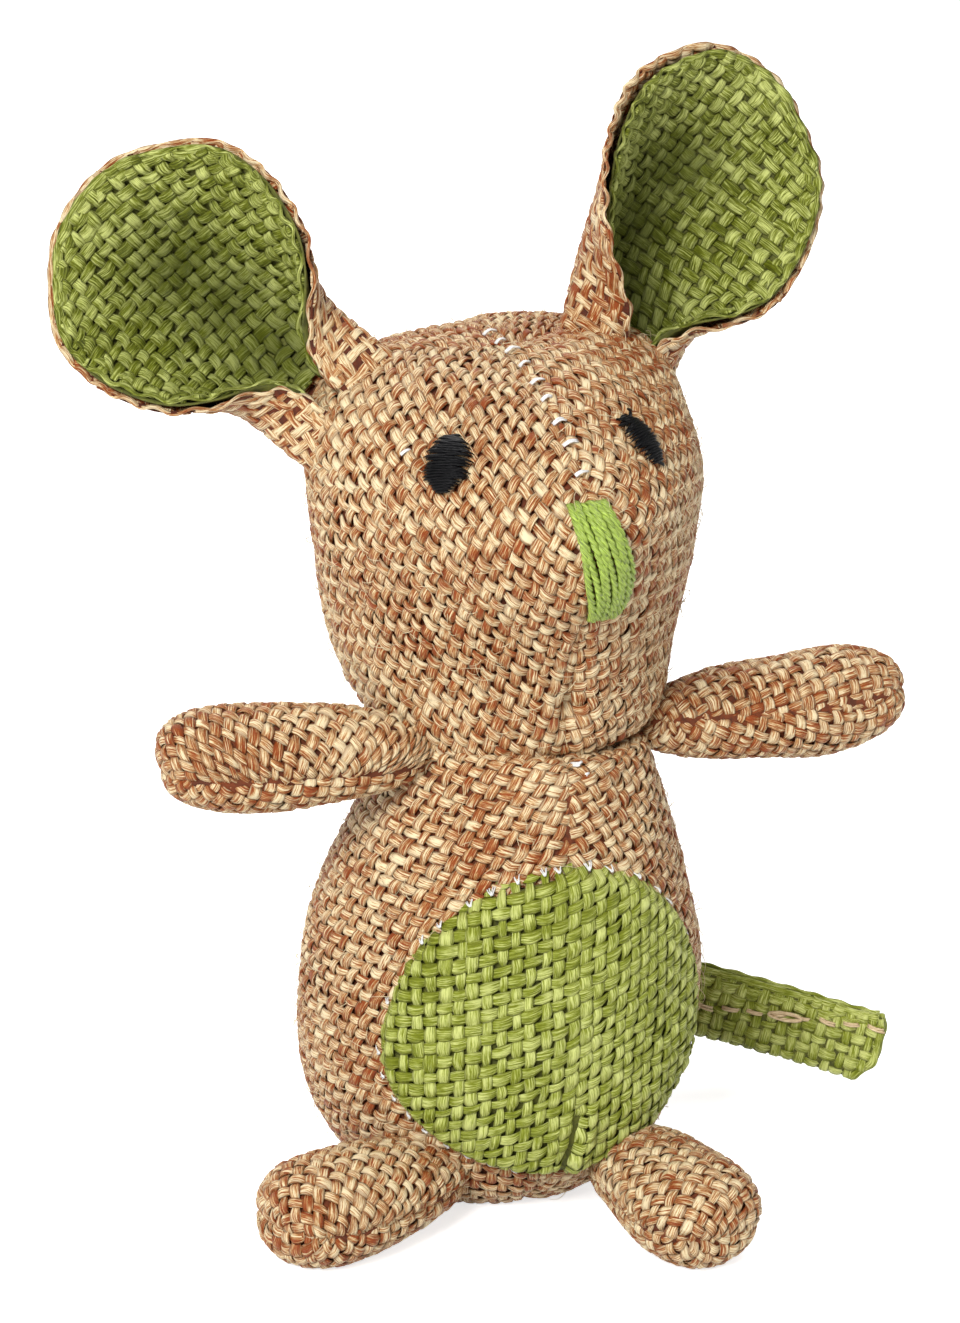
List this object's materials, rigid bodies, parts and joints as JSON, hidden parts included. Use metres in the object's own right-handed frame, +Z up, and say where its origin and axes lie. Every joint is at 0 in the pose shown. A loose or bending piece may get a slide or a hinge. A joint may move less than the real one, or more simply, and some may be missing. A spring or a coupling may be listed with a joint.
{
  "type": "catnip mouse",
  "caption": "Small sitting mouse toy of coarse woven cloth, stuffed round a catnip pouch, with sewn limbs, cupped lined ears and a strap tail.",
  "frame": {"origin": "middle of the flat base of the body, on the surface that the mouse sits on", "axes": "+Z up, -Y the way the mouse faces, +X the mouse's own left"},
  "size_m": [0.1022, 0.0614, 0.1249],
  "materials": {
    "brown_cloth": "coarse plain weave of variegated tan and straw yarn, matt",
    "green_cloth": "coarse plain weave of soft green yarn, slight sheen",
    "green_floss": "stranded floss, satin sheen",
    "black_floss": "satin stitch in black floss",
    "stuffing_fibre": "loose white polyester fibre",
    "pouch_cloth": "plain undyed cotton bag holding dried catnip"
  },
  "bodies": {
    "body": {"body_cover_left": "brown_cloth", "body_cover_right": "brown_cloth", "body_stuffing_lower": "stuffing_fibre", "body_stuffing_upper": "stuffing_fibre", "catnip_pouch": "pouch_cloth", "belly_patch": "green_cloth"},
    "head": {"head_cover_left": "brown_cloth", "head_cover_right": "brown_cloth", "head_stuffing": "stuffing_fibre", "eye_left": "black_floss", "eye_right": "black_floss", "nose": "green_floss"},
    "ear_left": {"ear_left_lining": "green_cloth", "ear_left_back": "brown_cloth"},
    "ear_right": {"ear_right_lining": "green_cloth", "ear_right_back": "brown_cloth"},
    "arm_left": {"arm_left_cover": "brown_cloth", "arm_left_stuffing": "stuffing_fibre"},
    "arm_right": {"arm_right_cover": "brown_cloth", "arm_right_stuffing": "stuffing_fibre"},
    "leg_left": {"leg_left_cover": "brown_cloth", "leg_left_stuffing": "stuffing_fibre"},
    "leg_right": {"leg_right_cover": "brown_cloth", "leg_right_stuffing": "stuffing_fibre"},
    "tail": {"tail": "green_cloth"}
  },
  "joints": [
    {"name": "head_nod", "type": "hinge", "parent": "body", "child": "head", "pos_m": [0, -0.006, 0.05315], "axis": [1, 0, 0], "range_deg": [-6, 6], "stiffness_Nm_per_rad": 0.08},
    {"name": "ear_left_bend", "type": "hinge", "parent": "head", "child": "ear_left", "pos_m": [0.01069, 0, 0.09379], "axis": [0.898, 0.1193, -0.4235], "range_deg": [-12, 12], "stiffness_Nm_per_rad": 0.012},
    {"name": "ear_right_bend", "type": "hinge", "parent": "head", "child": "ear_right", "pos_m": [-0.02294, 0.002, 0.09036], "axis": [0.6119, -0.0726, 0.7876], "range_deg": [-12, 12], "stiffness_Nm_per_rad": 0.012},
    {"name": "arm_left_swing", "type": "hinge", "parent": "body", "child": "arm_left", "pos_m": [0.011, -0.009, 0.053], "axis": [0, -1, 0], "range_deg": [-30, 12], "stiffness_Nm_per_rad": 0.012},
    {"name": "arm_right_swing", "type": "hinge", "parent": "body", "child": "arm_right", "pos_m": [-0.011, -0.009, 0.052], "axis": [0, 1, 0], "range_deg": [-30, 12], "stiffness_Nm_per_rad": 0.012},
    {"name": "leg_left_splay", "type": "hinge", "parent": "body", "child": "leg_left", "pos_m": [0.009, -0.01, 0.0056], "axis": [0, 0, 1], "range_deg": [-12, 12], "stiffness_Nm_per_rad": 0.012},
    {"name": "leg_right_splay", "type": "hinge", "parent": "body", "child": "leg_right", "pos_m": [-0.008, -0.012, 0.0056], "axis": [0, 0, 1], "range_deg": [-12, 12], "stiffness_Nm_per_rad": 0.012},
    {"name": "tail_swing", "type": "hinge", "parent": "body", "child": "tail", "pos_m": [0, 0.018, 0.015], "axis": [0, 0, 1], "range_deg": [-20, 20], "stiffness_Nm_per_rad": 0.008}
  ]
}
